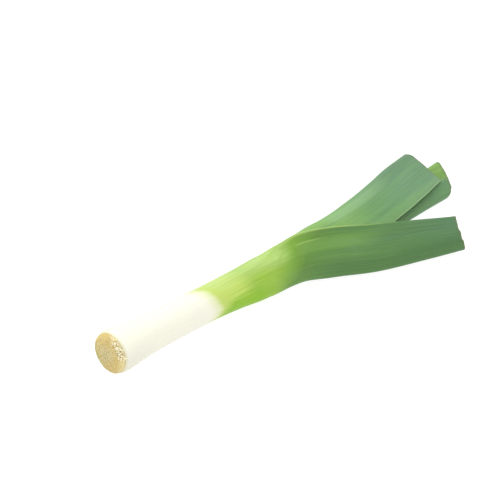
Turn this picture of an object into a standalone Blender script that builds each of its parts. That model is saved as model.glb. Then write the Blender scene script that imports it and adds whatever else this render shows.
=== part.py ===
"""A trimmed leek lying on its side.

Four whole leaves grow from a root plate. Low down each leaf is a closed sheath, and the sheaths
lie one inside the other as the white shank. Above its throat each leaf opens into a blade that is
folded along its keel, to the right and to the left in turn.

X runs from the root end to the leaf tips, Z is up, and the leek rests on z = 0. Shapes are worked
out in millimetres and become metres when a mesh is made.
"""
import math
import bpy
import numpy as np

MM = 0.001

# Shank
AXIS_HEIGHT = 15.5        # centre line of the shank above the surface it lies on
SHEATH_GAP = 0.4          # clearance between two neighbouring sheaths
HALF_FACETS = 10          # facets across each half of a leaf
INNER_SKIN = 0.9          # thickness that is left where a leaf is pressed flat
FLARED = 0.22             # share of a half leaf, at its margin, that bends outwards where it flares
SHANK_RADIUS = ((2.0, 15.5), (3.4, 16.2), (6, 16.7), (10, 16.7), (16, 16.05), (28, 14.95), (45, 14.2),
                (75, 13.9), (105, 13.9), (135, 14.2), (160, 15.2), (190, 16.3), (240, 16.6))
SHARE_AT_BASE = (1.0, 0.79, 0.58, 0.36, 0.0)       # outer radius of each leaf as a share of the shank's
SHARE_AT_THROAT = (1.0, 0.905, 0.815, 0.73, 0.64)
INNER_LIFT = ((0, 0), (162, 0), (190, 0.5), (215, 0.9))
SIDEWAYS_BEND = ((0, 0), (165, 0), (188, -0.2), (202, -1.2), (215, -2.7), (250, -5), (300, -7))
SHEATH_STATIONS = (3.4, 6, 10, 16, 28, 48, 75, 105, 132, 150, 166, 181, 195, 206)
BLADE_STEP = 12.0         # mean length of a facet along a blade
STEPS_GROW = 1.2          # over 1 makes the facets shorter near the throat

# Root plate and the stubs of its cut roots
PLATE_PROFILE = ((-3.5, 0), (-3.35, 4), (-2.95, 7.8), (-2.2, 11.0), (-1.2, 13.4), (-0.1, 15.0), (0.8, 15.4),
                 (1.55, 15.2), (1.55, 10.7), (4.2, 10.6), (4.2, 0))
PLATE_SIDES = 28
STUB_COUNT = 48
STUB_SIDES = 5
STUB_SUNK = 0.9
STUB_REACH = 14.5         # how far the roots spread over the plate
TUFT_SIDE = (0.0, -0.95, 0.31)   # side of the rim where roots were left longer
PLATE_CENTRE = (0.0, 0.0, AXIS_HEIGHT)

# Colours
SHANK_TO_LEAF_GREEN = (0.165, 0.330, 0.110)
BLUE_GREEN = (0.220, 0.400, 0.190)
DARK_GREEN = (0.145, 0.285, 0.125)
YELLOW_GREEN = (0.300, 0.480, 0.150)
ROOT_TAN = (0.600, 0.480, 0.240)


class Leaf:
    """Driving dimensions of one leaf. Pairs are (position along X, value)."""

    def __init__(self, **values):
        self.shrink = self.bulge_spread = 0.0
        self.bulge = ()
        self.flare = ()
        self.solid_to = None
        self.__dict__.update(values)


LEAVES = (
    Leaf(name="leaf_1", color=SHANK_TO_LEAF_GREEN, order=0, rank=1, start=2.0, throat=152, opened=212, end=326.3,
         keel=((172, -15.2, 6.6), (191, -18.6, 6.4), (215, -29.8, 5.1), (247, -49.3, 4.9),
               (290, -66.2, 5.1), (322, -77.3, 5.1)),
         roll=((0, 115), (140, 116), (175, 121), (212, 117), (322, 118)),
         fold_up=((152, 58), (215, 60), (322, 64)), fold_low=((152, 60), (322, 61)),
         width_up=((163, 37), (178, 36.6), (192, 38.3), (212, 40), (250, 38), (290, 33.2), (322, 29.1)),
         width_low=((190, 43), (215, 39), (250, 37), (290, 33), (322, 29)),
         bulge=((0, 0), (95, 0), (125, 2.0), (148, 4.3), (158, 3.7), (166, 2.2), (174, 1.0), (184, 0.4), (196, 0),
                (240, 0)),
         flare=((162, 0), (178, 26), (200, 30), (235, 12), (262, 0), (280, 0)),
         bulge_spread=9.0, slant_up=-3.0, slant_low=-6.0, slant_reach=8.0,
         nose=4.0, wall=1.2, keel_wall=0.8, floor=((0, 0), (322, 0))),
    Leaf(name="leaf_2", color=BLUE_GREEN, order=1, rank=-1, start=4.6, throat=180, opened=250, end=388,
         keel=((195, 13.0, 22.7), (213, 12.4, 26.2), (230, 11.2, 28.8), (246, 10.4, 29.6), (261, 10.6, 31.0),
               (275, 11.6, 32.4), (294, 13.5, 34.2), (318, 17.2, 36.2), (348, 24.4, 37.0), (388, 32.5, 36.2)),
         roll=((0, -65), (180, -65), (235, -53), (270, -44), (300, -38), (388, -38)),
         fold_up=((180, 66), (250, 66), (388, 70)), fold_low=((180, 60), (235, 52), (388, 52)),
         width_up=((205, 41), (240, 40.5), (300, 41), (350, 42.5), (388, 40.5)),
         width_low=((190, 36.5), (200, 30.5), (214, 28), (240, 29.5), (300, 35), (350, 36.5), (388, 35)),
         shrink=0.07, slant_up=2.0, slant_low=-8.0, slant_reach=8.0,
         nose=4.0, wall=1.2, keel_wall=0.8, floor=((0, 0.9), (165, 1.0), (190, 1.5), (232, 1.5), (262, 0), (388, 0))),
    Leaf(name="leaf_3", color=DARK_GREEN, order=2, rank=1, start=4.6, throat=200, opened=275, end=393,
         keel=((215, -15.6, 10.0), (245, -18.4, 8.0), (280, -17.8, 7.8), (334, -15.0, 7.6), (365, -13.2, 7.6),
               (393, -12.2, 7.6)),
         roll=((0, 115), (200, 115), (275, 116), (391, 117)),
         fold_up=((200, 70), (275, 88), (391, 91)), fold_low=((200, 70), (275, 70), (391, 70)),
         width_up=((215, 29), (235, 21.5), (330, 20.5), (393, 17.5)),
         width_low=((222, 27.5), (245, 24), (330, 23), (391, 20)),
         shrink=0.132, slant_up=16.0, slant_low=-4.0, slant_reach=7.0,
         nose=3.2, wall=1.1, keel_wall=0.6, floor=((0, 2.4), (240, 2.5), (275, 1.2), (391, 1.2))),
    Leaf(name="leaf_4", color=YELLOW_GREEN, order=3, rank=-1, start=4.6, throat=215, opened=285, end=412,
         solid_to=178,
         keel=((235, 6.4, 20.4), (265, 8.7, 23.4), (300, 11.0, 24.6), (361, 12.8, 25.2), (388, 13.2, 25.4),
               (410, 13.6, 27.0)),
         roll=((0, -65), (210, -65), (245, -52), (275, -38), (410, -36)),
         fold_up=((215, 74), (285, 88), (410, 88)), fold_low=((215, 70), (285, 62), (410, 62)),
         width_up=((225, 24), (245, 19), (330, 18), (388, 17), (410, 20)),
         width_low=((225, 22), (245, 14.5), (330, 15), (410, 15)),
         shrink=0.37, slant_up=-1.0, slant_low=-2.0, slant_reach=9.0,
         nose=2.4, wall=1.0, keel_wall=0.5, floor=((0, 3.0), (412, 3.0))),
)


def smooth(x, start, end):
    """0 before start, 1 after end, and an even rise between them."""
    t = min(max((x - start) / (end - start), 0.0), 1.0)
    return t * t * (3 - 2 * t)


def along(points, x):
    """Value at x of a smooth curve through (position, value) points that never overshoots them."""
    position, value = (np.array(column, float) for column in zip(*points))
    if x <= position[0]:
        return float(value[0])
    gap = np.diff(position)
    rise = np.diff(value) / gap
    slope = np.zeros(len(position))
    slope[0], slope[-1] = rise[0], rise[-1]
    one_way = rise[:-1] * rise[1:] > 0
    left, right = (np.where(one_way, part, 1.0) for part in (rise[:-1], rise[1:]))
    weight_left, weight_right = 2 * gap[1:] + gap[:-1], gap[1:] + 2 * gap[:-1]
    mean = (weight_left + weight_right) / (weight_left / left + weight_right / right)
    slope[1:-1] = np.where(one_way, mean, 0.0)
    if x >= position[-1]:
        return float(value[-1] + slope[-1] * (x - position[-1]))
    i = int(np.searchsorted(position, x)) - 1
    h, t = gap[i], (x - position[i]) / gap[i]
    return float((2 * t**3 - 3 * t**2 + 1) * value[i] + (t**3 - 2 * t**2 + t) * h * slope[i]
                 + (3 * t**2 - 2 * t**3) * value[i + 1] + (t**3 - t**2) * h * slope[i + 1])


def sheath(order, x):
    """Outer radius and wall of the sheath of one leaf, where 0 is the outermost."""
    radius = along(SHANK_RADIUS, x)
    s = smooth(x, 50, 165)
    outer_share, inner_share = (SHARE_AT_BASE[k] * (1 - s) + SHARE_AT_THROAT[k] * s for k in (order, order + 1))
    outer = radius * outer_share - (SHEATH_GAP / 2 if order else 0)
    inner = max(radius * inner_share + SHEATH_GAP / 2, 0)
    return outer, outer - inner


def wall_of(leaf, x):
    """Thickness of a leaf: thick in the shank, thin in the blade."""
    outer, wall = sheath(leaf.order, min(x, leaf.throat))
    if leaf.solid_to:
        wall = (outer - 1.5) + (3.0 - outer) * smooth(x, leaf.solid_to, leaf.solid_to + 22)
    s = smooth(x, leaf.throat - 10, leaf.opened)
    return wall * (1 - s) + leaf.wall * s


def ring_radius(leaf, x):
    """Radius of the middle of the sheath wall."""
    outer = sheath(leaf.order, min(x, 230))[0] * (1 - leaf.shrink * smooth(x, 128, 200))
    return outer - wall_of(leaf, x) / 2


def keel_on_ring(leaf, x):
    """Y and Z of the keel while the leaf is still a closed ring."""
    roll, radius = math.radians(along(leaf.roll, x)), ring_radius(leaf, x)
    lift = along(INNER_LIFT, x) if leaf.order else 0.0
    return along(SIDEWAYS_BEND, x) - math.sin(roll) * radius, AXIS_HEIGHT + lift + math.cos(roll) * radius


def keel_at(leaf, x):
    """Y and Z of the keel, on the ring as far as the throat and along its own curve beyond."""
    if x <= leaf.throat - 8:
        return keel_on_ring(leaf, x)
    before = [(q, *keel_on_ring(leaf, q)) for q in (leaf.throat - 30, leaf.throat - 18, leaf.throat - 8, leaf.throat)]
    points = before + list(leaf.keel)
    return along([(p[0], p[1]) for p in points], x), along([(p[0], p[2]) for p in points], x)


def half_width(leaf, widths, x):
    """Width of one half of the leaf, measured over its curve from keel to margin."""
    if x <= leaf.throat:
        return math.pi * ring_radius(leaf, x)
    ring = math.pi * ring_radius(leaf, leaf.throat)
    return along(((leaf.throat - 1, ring), (leaf.throat, ring)) + widths, x)


def section(leaf, x, facets=HALF_FACETS, steps=160):
    """Outer and inner points of the leaf at x, from its upper margin round the keel to its lower margin."""
    y, z = keel_at(leaf, x)
    turned = math.atan2(keel_at(leaf, x + 4)[0] - keel_at(leaf, x - 4)[0], 8)
    turned *= smooth(x, leaf.throat - 5, leaf.opened - 10)
    sideways = np.array((-math.sin(turned), math.cos(turned), 0.0))
    ahead = np.array((math.cos(turned), math.sin(turned), 0.0))
    upward = np.array((0.0, 0.0, 1.0))
    roll = math.radians(along(leaf.roll, x))
    outward = -math.sin(roll) * sideways + math.cos(roll) * upward
    across = leaf.rank * (math.cos(roll) * sideways + math.sin(roll) * upward)
    blade = smooth(x, leaf.throat, leaf.opened)
    bulge = along(leaf.bulge, x) if leaf.bulge else 0.0
    past_cut = smooth(x, leaf.end - 45, leaf.end)
    radius, wall = ring_radius(leaf, x), wall_of(leaf, x)
    share = np.linspace(0, 1, facets + 1)
    halves = []
    for side, widths, folds, slant in ((1, leaf.width_up, leaf.fold_up, leaf.slant_up),
                                       (-1, leaf.width_low, leaf.fold_low, leaf.slant_low)):
        width = half_width(leaf, widths, x)
        fold = math.radians(along(folds, x))
        t = np.linspace(0, width, steps + 1)
        turn = (1 - blade) * t / radius + blade * fold * (1 - np.exp(-t / leaf.nose))
        if leaf.flare and side > 0:
            turn -= math.radians(along(leaf.flare, x)) * np.clip(t / width / FLARED - 1 / FLARED + 1, 0, 1)
        middle = (turn[1:] + turn[:-1]) / 2
        outwards = np.r_[0, np.cumsum(np.cos(middle))] * width / steps
        inwards = np.r_[0, np.cumsum(np.sin(middle))] * width / steps
        at = ((1 - blade) * share + blade * share**1.5) * width
        a, c, angle = (np.interp(at, t, values) for values in (outwards, inwards, turn))
        push = bulge * np.exp(-(at / leaf.bulge_spread) ** 2) if bulge else at * 0
        slide = past_cut * slant * (1 - np.exp(-at / leaf.slant_reach))
        line = (np.array((x, y, z)) + np.outer(side * a, across) + np.outer(push - c, outward)
                + np.outer(slide, ahead))
        normal = np.outer(side * np.sin(angle), across) + np.outer(np.cos(angle), outward)
        thick = wall * (1 - 0.25 * blade * share) + blade * leaf.keel_wall * np.exp(-(at / 3.0) ** 2)
        halves.append([line + normal * thick[:, None] / 2, line - normal * thick[:, None] / 2])
    outer, inner = (np.vstack((halves[0][k][::-1], halves[1][k][1:])) for k in (0, 1))
    floor = along(leaf.floor, x)
    outer[:, 2] = np.maximum(outer[:, 2], floor)
    inner[:, 2] = np.maximum(inner[:, 2], floor + INNER_SKIN)
    return outer, inner


def stations(leaf):
    """Positions of the sections of one leaf."""
    sheath_part = [leaf.start] + [x for x in SHEATH_STATIONS if leaf.start + 1 < x < leaf.throat - 5]
    count = max(2, round((leaf.end - leaf.throat) / BLADE_STEP))
    return sheath_part + list(leaf.throat + (leaf.end - leaf.throat) * np.linspace(0, 1, count + 1) ** STEPS_GROW)


class Skin:
    """Points and triangles of a closed surface while it is built."""

    def __init__(self, flip):
        self.points, self.faces, self.flip = [], [], flip

    def add(self, point):
        self.points.append(np.array(point, float))
        return len(self.points) - 1

    def face(self, *corners):
        """One face, cut along its shorter diagonal."""
        corners = list(dict.fromkeys(corners))
        if len(corners) < 3:
            return
        if len(corners) == 4:
            a, b, c, d = corners
            p = self.points
            if np.linalg.norm(p[a] - p[c]) <= np.linalg.norm(p[b] - p[d]):
                parts = ((a, b, c), (a, c, d))
            else:
                parts = ((a, b, d), (b, c, d))
        else:
            parts = (tuple(corners),)
        self.faces += [part[::-1] if self.flip else part for part in parts]


def leaf_skin(leaf):
    """Closed surface of one leaf."""
    skin = Skin(flip=leaf.rank > 0)
    outers, inners = [], []
    places = stations(leaf)
    for x in places:
        outer, inner = section(leaf, x)
        for rows, points in ((outers, outer), (inners, inner)):
            if rows is inners and leaf.solid_to and x < leaf.solid_to:
                rows.append(None)
            elif x <= leaf.throat:
                ring = [skin.add(p) for p in points[:-1]]
                rows.append(ring + ring[:1])
            else:
                rows.append([skin.add(p) for p in points])
    last = len(outers[0]) - 1
    for r in range(len(places) - 1):
        here, there = outers[r], outers[r + 1]
        for j in range(last):
            skin.face(here[j], there[j], there[j + 1], here[j + 1])
            if inners[r]:
                skin.face(inners[r][j], inners[r][j + 1], inners[r + 1][j + 1], inners[r + 1][j])
        if places[r + 1] > leaf.throat:
            skin.face(here[0], inners[r][0], inners[r + 1][0], there[0])
            skin.face(there[last], inners[r + 1][last], inners[r][last], here[last])
    for j in range(last):
        skin.face(outers[-1][j + 1], outers[-1][j], inners[-1][j], inners[-1][j + 1])
    if inners[0]:
        for j in range(last):
            skin.face(outers[0][j], outers[0][j + 1], inners[0][j + 1], inners[0][j])
    else:
        first = next(row for row in inners if row)
        for ring, step in ((outers[0], 0), (first, 1)):
            centre = skin.add(np.mean([skin.points[i] for i in ring[:-1]], axis=0))
            for j in range(last):
                skin.face(ring[j + step], ring[j + 1 - step], centre)
    return skin


def turned_skin(profile, sides):
    """Closed surface of a profile of (x, radius) points turned about the shank's axis."""
    skin = Skin(flip=False)
    rings = []
    for x, radius in profile:
        if radius == 0:
            rings.append([skin.add((x, 0, AXIS_HEIGHT))] * (sides + 1))
            continue
        angles = [2 * math.pi * (k + 0.5) / sides for k in range(sides)]
        ring = [skin.add((x, radius * math.sin(a), AXIS_HEIGHT + radius * math.cos(a))) for a in angles]
        rings.append(ring + ring[:1])
    for ring, following in zip(rings, rings[1:]):
        for k in range(sides):
            skin.face(ring[k], following[k], following[k + 1], ring[k + 1])
    return skin


def stub_skin(foot, direction, length, radius, bend):
    """Closed surface of one cut root: a short tapering stub that leans over a little."""
    skin = Skin(flip=False)
    direction = direction / np.linalg.norm(direction)
    side = np.cross(direction, (0.3, 0.5, 0.8))
    side /= np.linalg.norm(side)
    other = np.cross(direction, side)
    rings = []
    for share, width in ((0.0, 1.15), (0.6, 1.0), (1.0, 0.8)):
        centre = foot + direction * length * share + bend * share**2
        rings.append([skin.add(centre + radius * width * (math.cos(a) * side + math.sin(a) * other))
                      for a in np.linspace(0, 2 * math.pi, STUB_SIDES, endpoint=False)])
    for ring, following in zip(rings, rings[1:]):
        for k in range(STUB_SIDES):
            n = (k + 1) % STUB_SIDES
            skin.face(ring[k], ring[n], following[n], following[k])
    for ring, step in ((rings[0], 1), (rings[-1], 0)):
        centre = skin.add(np.mean([skin.points[i] for i in ring], axis=0))
        for k in range(STUB_SIDES):
            pair = (ring[k], ring[(k + 1) % STUB_SIDES])
            skin.face(pair[step], pair[1 - step], centre)
    return skin


def root_stubs():
    """Cut roots over the front of the root plate, trimmed short but for a tuft at its rim."""
    draw = np.random.default_rng(11)
    fronts, radii = zip(*PLATE_PROFILE[:7])
    stubs = []
    for k in range(STUB_COUNT):
        radius = STUB_REACH * math.sqrt((k + 0.5) / STUB_COUNT) ** 0.75
        angle = k * 2.39996 + draw.uniform(-0.25, 0.25)
        out = np.array((0.0, math.sin(angle), math.cos(angle)))
        front = float(np.interp(radius, radii, fronts))
        rim = (radius / STUB_REACH) ** 4
        tuft = max(0.0, float(out @ TUFT_SIDE)) ** 6 * rim
        length = draw.uniform(0.4, 0.75) + 1.7 * tuft
        direction = np.array((-1.0, 0, 0)) + out * (0.5 * rim + 0.9 * tuft)
        foot = np.array((front, 0, AXIS_HEIGHT)) + out * radius
        foot = foot - direction / np.linalg.norm(direction) * STUB_SUNK
        bend = np.cross(out, (1.0, 0, 0)) * draw.uniform(-0.5, 0.5)
        stubs.append(stub_skin(foot, direction, length + STUB_SUNK, draw.uniform(0.42, 0.6), bend))
    return stubs


def material(name, color, roughness):
    """A plain surface with one colour."""
    made = bpy.data.materials.new(name)
    made.use_nodes = True
    shader = made.node_tree.nodes["Principled BSDF"]
    shader.inputs["Base Color"].default_value = (*color, 1.0)
    shader.inputs["Roughness"].default_value = roughness
    shader.inputs["Metallic"].default_value = 0.0
    made.diffuse_color = (*color, 1.0)
    return made


def make_object(name, skin, origin, shift, collection):
    """A mesh object whose own origin is at the given point."""
    points = (np.array(skin.points) - np.array(origin)) * MM
    mesh = bpy.data.meshes.new(name)
    mesh.from_pydata(points.tolist(), [], skin.faces)
    mesh.validate()
    made = bpy.data.objects.new(name, mesh)
    made.location = (np.array(origin) + np.array(shift)) * MM
    collection.objects.link(made)
    return made


def finish(made, look, sharp_angle):
    """Smooth shading with crisp edges, and the piece's own material."""
    made.data.materials.clear()
    made.data.materials.append(look)
    for face in made.data.polygons:
        face.use_smooth = True
    made.data.set_sharp_from_angle(angle=math.radians(sharp_angle))


def clear_scene():
    for old in list(bpy.data.objects):
        bpy.data.objects.remove(old, do_unlink=True)


def main():
    clear_scene()
    collection = bpy.context.scene.collection
    leaf_skins = [leaf_skin(leaf) for leaf in LEAVES]
    plate = turned_skin(PLATE_PROFILE, PLATE_SIDES)
    stubs = root_stubs()
    every_point = np.vstack([skin.points for skin in leaf_skins + [plate] + stubs])
    low, high = every_point.min(axis=0), every_point.max(axis=0)
    shift = (-(low[0] + high[0]) / 2, -(low[1] + high[1]) / 2, -low[2])

    for leaf, skin in zip(LEAVES, leaf_skins):
        made = make_object(leaf.name, skin, (leaf.start, 0, AXIS_HEIGHT), shift, collection)
        finish(made, material(leaf.name, leaf.color, 0.45), 50)

    roots = bpy.data.collections.new("cut_roots")
    collection.children.link(roots)
    for number, skin in enumerate(stubs):
        make_object("cut_root_%02d" % number, skin, PLATE_CENTRE, shift, roots)
    root_plate = make_object("root_plate", plate, PLATE_CENTRE, shift, collection)
    fuse = root_plate.modifiers.new("fuse_roots", "BOOLEAN")
    fuse.operation = "UNION"
    fuse.operand_type = "COLLECTION"
    fuse.collection = roots
    fuse.solver = "MANIFOLD"
    bpy.context.view_layer.update()
    evaluated = root_plate.evaluated_get(bpy.context.evaluated_depsgraph_get())
    fused = bpy.data.meshes.new_from_object(evaluated)
    root_plate.modifiers.clear()
    root_plate.data = fused
    for old in list(roots.objects):
        bpy.data.objects.remove(old, do_unlink=True)
    bpy.data.collections.remove(roots)
    finish(root_plate, material("root_plate", ROOT_TAN, 0.7), 40)


main()
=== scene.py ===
"""Looks of a trimmed leek lying on its side.

Each leaf is drawn again from the driving dimensions of its solid, at a finer step, with its veins,
thin margins and cut end. It carries values over its surface that its finish reads: the vein each
point lies on, how far along the leaf it is, and how far from the margin. The root plate gets its
fibres, and cut roots are planted over it.

Shapes are worked out in millimetres, with X from the root end and Z up from the surface, and are
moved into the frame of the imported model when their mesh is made.
"""
import math
import bmesh
import bpy
import numpy as np
from mathutils import Matrix, Vector


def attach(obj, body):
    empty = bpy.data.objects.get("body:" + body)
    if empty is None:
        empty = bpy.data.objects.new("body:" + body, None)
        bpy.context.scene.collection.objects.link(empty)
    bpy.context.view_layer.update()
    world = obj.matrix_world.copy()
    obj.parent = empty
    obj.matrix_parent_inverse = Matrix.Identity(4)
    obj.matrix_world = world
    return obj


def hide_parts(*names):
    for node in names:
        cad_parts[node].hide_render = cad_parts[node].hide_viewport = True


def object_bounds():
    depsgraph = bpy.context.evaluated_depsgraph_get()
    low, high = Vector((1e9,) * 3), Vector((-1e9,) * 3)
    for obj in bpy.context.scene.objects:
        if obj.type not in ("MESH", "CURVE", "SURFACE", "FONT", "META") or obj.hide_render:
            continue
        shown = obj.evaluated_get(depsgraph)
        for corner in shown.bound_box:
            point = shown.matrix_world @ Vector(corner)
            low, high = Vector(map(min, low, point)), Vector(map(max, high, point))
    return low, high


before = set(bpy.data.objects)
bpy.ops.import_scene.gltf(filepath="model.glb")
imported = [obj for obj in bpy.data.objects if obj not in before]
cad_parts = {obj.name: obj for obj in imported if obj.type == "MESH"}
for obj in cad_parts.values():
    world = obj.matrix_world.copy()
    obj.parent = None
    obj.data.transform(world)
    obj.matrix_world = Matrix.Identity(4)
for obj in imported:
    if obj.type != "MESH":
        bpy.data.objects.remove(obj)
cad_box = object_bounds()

MM = 0.001
ROOT_END = np.array((-203.9653, 22.4274, 0.0))     # where the drawing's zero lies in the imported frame

# Shank. Tables of sizes hold (position along X, value)
AXIS_HEIGHT = 15.5
SHANK_RADIUS = ((2.0, 15.5), (3.4, 16.2), (6, 16.7), (10, 16.7), (16, 16.05), (28, 14.95), (45, 14.2),
                (75, 13.9), (105, 13.9), (135, 14.2), (160, 15.2), (190, 16.3), (240, 16.6))
SHEATH_GAP = 0.4                                   # between one sheath and the next
SHARE_AT_BASE = (1.0, 0.79, 0.58, 0.36, 0.0)       # radius of each sheath, as a share of the shank's
SHARE_AT_THROAT = (1.0, 0.905, 0.815, 0.73, 0.64)
SHARES_CHANGE = (50, 165)                          # where one share goes over into the other
SHANK_END = 230                                    # past this the sheaths keep their radius
INNER_LIFT = ((0, 0), (162, 0), (190, 0.5), (215, 0.9))
INNER_SHRINK = (128, 200)                          # where the inner leaves draw in
SIDEWAYS_BEND = ((0, 0), (165, 0), (188, -0.2), (202, -1.2), (215, -2.7), (250, -5), (300, -7))
CORE_HOLLOW, CORE_WALL = 1.5, 1.5                  # radius left in the solid core, and its wall once it is open
CORE_OPENS = 22                                    # length over which it opens

# Blades
KEEL_LEAVES_RING = 8                               # how far before the throat
KEEL_LOOK = 4                                      # how far to both sides the keel's direction is read
KEEL_CROWDING = 1.15                               # above 1 puts the columns closer together at the keel
KEEL_REACH = 3.0                                   # width of the thickened keel
FLARED = 0.22                                      # share of a half that bends back where the leaf flares
BLADE_THINS = 0.25                                 # share of the thickness lost from keel to margin
MARGIN_REACH, MARGIN_LEFT = 2.2, 0.3               # width of the thin margin, and its share of the thickness
FLAT_SKIN = 0.9                                    # least thickness where a leaf lies flat on the surface
CUT_REACH = 45                                     # length over which the sections lean into the slanted cut
VEIN_RELIEF, INNER_RELIEF = 0.05, 0.4              # height of the strongest vein, and its share on the inner face
CLOSED_MARGIN = 60                                 # added to a margin's distance while the leaf is a closed ring
HALF_WIDTH = 36.0                                  # usual width of one half, which spaces the veins in the finish

# Sections of a leaf: fine steps over a half, places of the first ones, and spacing of the others
HALF_STEPS = 420
START_PLACES = (0, 0.35, 0.8, 1.5, 2.6, 4.2, 6.4, 9.0)
OUTER_SHEATH_STEP, INNER_SHEATH_STEP, BLADE_STEP = 3.5, 7.0, 1.7

# Cut ends: (columns from one notch to the next, deepest, furthest out), and the length that follows them
CUT_WAVES = ((3, -0.35, 0.2), (10, -0.8, 0.35))
CUT_WAVE_REACH = 4.0

# Root plate: its dome as (position along X, radius), then its back as (position, radius, relief)
PLATE_DOME = ((-3.5, 0), (-3.35, 4), (-2.95, 7.8), (-2.2, 11.0), (-1.2, 13.4), (-0.1, 15.0), (0.8, 15.4))
PLATE_BACK = ((1.3, 15.4, 0.2), (1.9, 15.4, 0.0), (1.9, 10.7, 0.0), (4.2, 10.6, 0.0))
PLATE_SIDES, DOME_RINGS = 180, 50

# Cut roots, in metres. The tuft's length is in lengths of a root
PLATE_FRONT = -0.25                                # a face is at the front where X of its normal is below this
ROOTS_WITHIN, TUFT_BEYOND = 13.6, 3                # radius in millimetres that holds roots, and what the tuft adds
ROOT_DENSITY = 900000.0                            # most roots on a square metre
ROOT_SIZES = {"Root length": 0.0008, "Root radius": 0.00042, "Spacing": 0.0010, "Tuft length": 4.4, "Seed": 5}

# The photograph's camera: degrees down and sideways, place in metres, and focal length in pixels of its width
CAMERA_DOWN, CAMERA_HEADING = 27.3, 47.2
CAMERA_PLACE = (-0.779972, -0.648160, 0.552361)
FOCAL_PIXELS, PHOTO_WIDTH, FILM_WIDTH = 1438, 500, 36.0


class Leaf:
    """Driving dimensions of one leaf. Tables hold (position along X, value), and the keel's (X, Y, Z).

    order counts from the outermost leaf, and rank is the side that it grows to. The leaf runs from its
    start to its end. Its sheath is closed as far as its throat, and its blade is fully open from opened
    on. roll turns the keel about the shank's axis, in degrees. The folds, widths and slants are those of
    the upper and the lower half.
    """

    def __init__(self, **values):
        self.shrink = 0.0
        self.bulge = self.flare = ()
        self.solid_to = None
        self.__dict__.update(values)


LEAVES = (
    Leaf(name="leaf_1", order=0, rank=1, start=2.0, throat=152, opened=212, end=326.3, facets=112, veins=24,
         keel=((172, -15.2, 6.6), (191, -18.6, 6.4), (215, -29.8, 5.1), (247, -49.3, 4.9),
               (290, -66.2, 5.1), (322, -77.3, 5.1)),
         roll=((0, 115), (140, 116), (175, 121), (212, 117), (322, 118)),
         fold_up=((152, 58), (215, 60), (322, 64)), fold_low=((152, 60), (322, 61)),
         width_up=((163, 37), (178, 36.6), (192, 38.3), (212, 40), (250, 38), (290, 33.2), (322, 29.1)),
         width_low=((190, 43), (215, 39), (250, 37), (290, 33), (322, 29)),
         bulge=((0, 0), (95, 0), (125, 2.0), (148, 4.3), (158, 3.7), (166, 2.2), (174, 1.0), (184, 0.4), (196, 0),
                (240, 0)),
         flare=((162, 0), (178, 26), (200, 30), (235, 12), (262, 0), (280, 0)),
         bulge_spread=9.0, slant_up=-3.0, slant_low=-6.0, slant_reach=8.0,
         nose=4.0, wall=1.2, keel_wall=0.8, floor=((0, 0), (322, 0))),
    Leaf(name="leaf_2", order=1, rank=-1, start=4.6, throat=180, opened=250, end=388, facets=104, veins=22,
         keel=((195, 13.0, 22.7), (213, 12.4, 26.2), (230, 11.2, 28.8), (246, 10.4, 29.6), (261, 10.6, 31.0),
               (275, 11.6, 32.4), (294, 13.5, 34.2), (318, 17.2, 36.2), (348, 24.4, 37.0), (388, 32.5, 36.2)),
         roll=((0, -65), (180, -65), (235, -53), (270, -44), (300, -38), (388, -38)),
         fold_up=((180, 66), (250, 66), (388, 70)), fold_low=((180, 60), (235, 52), (388, 52)),
         width_up=((205, 41), (240, 40.5), (300, 41), (350, 42.5), (388, 40.5)),
         width_low=((190, 36.5), (200, 30.5), (214, 28), (240, 29.5), (300, 35), (350, 36.5), (388, 35)),
         shrink=0.07, slant_up=2.0, slant_low=-8.0, slant_reach=8.0,
         nose=4.0, wall=1.2, keel_wall=0.8, floor=((0, 0.9), (165, 1.0), (190, 1.5), (232, 1.5), (262, 0), (388, 0))),
    Leaf(name="leaf_3", order=2, rank=1, start=4.6, throat=200, opened=275, end=393, facets=72, veins=16,
         keel=((215, -15.6, 10.0), (245, -18.4, 8.0), (280, -17.8, 7.8), (334, -15.0, 7.6), (365, -13.2, 7.6),
               (393, -12.2, 7.6)),
         roll=((0, 115), (200, 115), (275, 116), (391, 117)),
         fold_up=((200, 70), (275, 88), (391, 91)), fold_low=((200, 70), (275, 70), (391, 70)),
         width_up=((215, 29), (235, 21.5), (330, 20.5), (393, 17.5)),
         width_low=((222, 27.5), (245, 24), (330, 23), (391, 20)),
         shrink=0.132, slant_up=16.0, slant_low=-4.0, slant_reach=7.0,
         nose=3.2, wall=1.1, keel_wall=0.6, floor=((0, 2.4), (240, 2.5), (275, 1.2), (391, 1.2))),
    Leaf(name="leaf_4", order=3, rank=-1, start=4.6, throat=215, opened=285, end=412, facets=56, veins=12,
         solid_to=178,
         keel=((235, 6.4, 20.4), (265, 8.7, 23.4), (300, 11.0, 24.6), (361, 12.8, 25.2), (388, 13.2, 25.4),
               (410, 13.6, 27.0)),
         roll=((0, -65), (210, -65), (245, -52), (275, -38), (410, -36)),
         fold_up=((215, 74), (285, 88), (410, 88)), fold_low=((215, 70), (285, 62), (410, 62)),
         width_up=((225, 24), (245, 19), (330, 18), (388, 17), (410, 20)),
         width_low=((225, 22), (245, 14.5), (330, 15), (410, 15)),
         shrink=0.37, slant_up=-1.0, slant_low=-2.0, slant_reach=9.0,
         nose=2.4, wall=1.0, keel_wall=0.5, floor=((0, 3.0), (412, 3.0))),
)


# ---------------------------------------------------------------- drawing a leaf

def smooth(x, start, end):
    """0 before start, 1 after end, and an even rise between them."""
    t = np.clip((np.asarray(x, float) - start) / (end - start), 0.0, 1.0)
    return t * t * (3 - 2 * t)


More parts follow.
